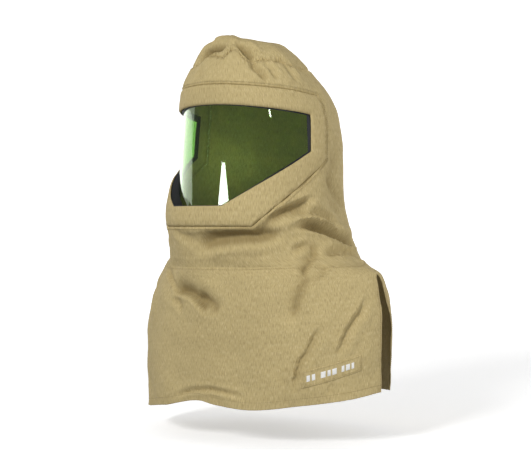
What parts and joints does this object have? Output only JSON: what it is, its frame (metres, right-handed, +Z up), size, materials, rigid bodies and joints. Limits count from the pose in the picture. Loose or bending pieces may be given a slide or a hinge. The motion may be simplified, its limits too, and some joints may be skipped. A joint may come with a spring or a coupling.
{
  "type": "arc flash hood",
  "caption": "Worn cloth hood with a curved green face shield in a sewn window, and a bib that hangs over chest and back with a slit for each arm.",
  "frame": {"origin": "the point of the crown's inner side that rests on top of the wearer's head", "axes": "the wearer faces -Y, +X is the wearer's left, +Z is up"},
  "size_m": [0.4601, 0.3626, 0.6232],
  "materials": {
    "cloth": "tan woven cloth with a slub",
    "label": "tan woven cloth with white stitched bars",
    "gasket": "matte black",
    "shield": "clear green tint, glossy"
  },
  "bodies": {
    "root": {"crown_panel": "cloth", "hood_body": "cloth", "window_facing": "cloth", "window_gasket": "gasket", "face_shield": "shield", "bib_front": "cloth", "bib_back": "cloth", "sewn_label": "label"}
  },
  "joints": []
}
